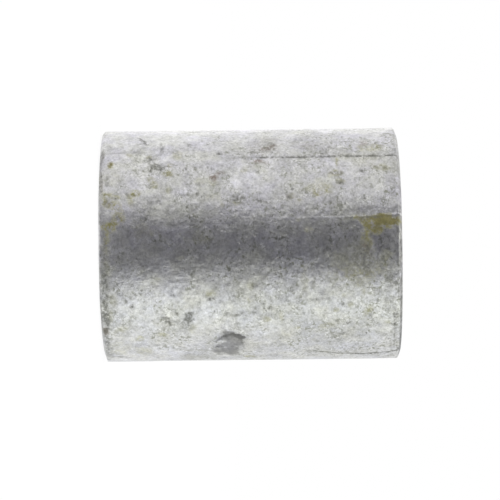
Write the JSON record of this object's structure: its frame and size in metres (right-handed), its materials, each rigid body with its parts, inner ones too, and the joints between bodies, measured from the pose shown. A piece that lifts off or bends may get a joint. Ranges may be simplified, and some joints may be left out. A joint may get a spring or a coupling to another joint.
{
  "type": "pipe coupling",
  "caption": "Short galvanized steel sleeve with an internal straight pipe thread, for joining the ends of two threaded pipes.",
  "frame": {"origin": "middle of the end face that the coupling stands on", "axes": "+Z along the threaded bore, from the end face it stands on to the other one"},
  "size_m": [0.027, 0.027, 0.0346],
  "materials": {
    "galvanized_steel": "satin"
  },
  "bodies": {
    "root": {"coupling_body": "galvanized_steel"}
  },
  "joints": []
}
